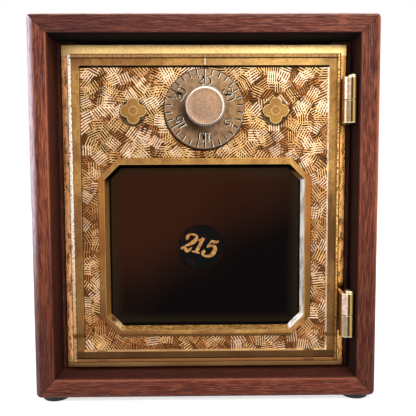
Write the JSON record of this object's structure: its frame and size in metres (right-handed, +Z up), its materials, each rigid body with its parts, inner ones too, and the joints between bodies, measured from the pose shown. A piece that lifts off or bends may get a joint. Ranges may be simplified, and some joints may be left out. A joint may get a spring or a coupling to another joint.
{
  "type": "post office box door",
  "caption": "Cast brass post office box door with a numbered dial lock and dark window, hinged in a mitred wooden case on small feet.",
  "frame": {"origin": "on the ground under the middle of the footprint, knob included", "axes": "+Z up, the door faces -Y, +X to the right seen from the front"},
  "size_m": [0.1568, 0.1068, 0.176],
  "materials": {
    "case_wood": "reddish mahogany with a soft sheen",
    "inner_wood": "plain sawn wood",
    "cast_brass": "aged cast brass",
    "hinge_brass": "worn brass",
    "worn_nickel": "worn nickel over brass",
    "lock_brass": "machined brass",
    "lock_steel": "plain steel",
    "screw_steel": "dull steel",
    "window_glass": "dark clear glass",
    "black_enamel": "black paint with gilt digits",
    "black_rubber": "matte black rubber"
  },
  "bodies": {
    "case": {"case_top": "case_wood", "case_bottom": "case_wood", "case_left_side": "case_wood", "case_right_side": "case_wood", "back_panel": "inner_wood", "back_panel_screws": "screw_steel", "feet": "black_rubber", "left_cleat": "inner_wood", "right_cleat": "inner_wood", "door_frame": "cast_brass", "frame_screws": "screw_steel", "upper_frame_leaf": "hinge_brass", "lower_frame_leaf": "hinge_brass", "frame_leaf_screws": "screw_steel", "hinge_pins": "hinge_brass"},
    "door": {"door_casting": "cast_brass", "glass_pane": "window_glass", "number_roundel": "black_enamel", "glass_retainer": "lock_brass", "retainer_screws": "screw_steel", "upper_door_leaf": "hinge_brass", "lower_door_leaf": "hinge_brass", "door_leaf_screws": "screw_steel", "lock_plate": "lock_brass", "lock_plate_screws": "screw_steel", "lock_pillars": "lock_brass", "lock_bridge": "lock_brass", "bridge_screws": "screw_steel", "bolt_guide": "lock_brass", "dial_tube": "lock_brass", "tumbler_spacers": "lock_brass"},
    "dial": {"dial_plate": "worn_nickel", "dial_knob": "worn_nickel", "dial_spindle": "lock_steel", "driver_cam": "lock_brass", "cam_nut": "lock_brass"},
    "tumbler_1": {"tumbler_1": "lock_brass"},
    "tumbler_2": {"tumbler_2": "lock_brass"},
    "tumbler_3": {"tumbler_3": "lock_brass"},
    "bolt": {"latch_bolt": "lock_brass", "lever_stud": "lock_steel"},
    "lever": {"fence_lever": "lock_steel"}
  },
  "joints": [
    {"name": "door_swing", "type": "hinge", "parent": "case", "child": "door", "pos_m": [0.0667, -0.0478, 0.089], "axis": [0, 0, 1], "range_deg": [0, 90]},
    {"name": "dial_turn", "type": "hinge", "parent": "door", "child": "dial", "pos_m": [0, -0.0307, 0.1348], "axis": [0, 1, 0], "continuous": true},
    {"name": "tumbler_1_turn", "type": "hinge", "parent": "door", "child": "tumbler_1", "pos_m": [0, -0.02975, 0.1348], "axis": [0, 1, 0], "continuous": true},
    {"name": "tumbler_2_turn", "type": "hinge", "parent": "door", "child": "tumbler_2", "pos_m": [0, -0.02685, 0.1348], "axis": [0, 1, 0], "continuous": true},
    {"name": "tumbler_3_turn", "type": "hinge", "parent": "door", "child": "tumbler_3", "pos_m": [0, -0.02395, 0.1348], "axis": [0, 1, 0], "continuous": true},
    {"name": "bolt_slide", "type": "slide", "parent": "door", "child": "bolt", "axis": [-1, 0, 0], "range_m": [0, 0.006]},
    {"name": "lever_lift", "type": "hinge", "parent": "bolt", "child": "lever", "pos_m": [0.0215, -0.0208, 0.1494], "axis": [0, 1, 0], "range_deg": [0, 8]}
  ]
}
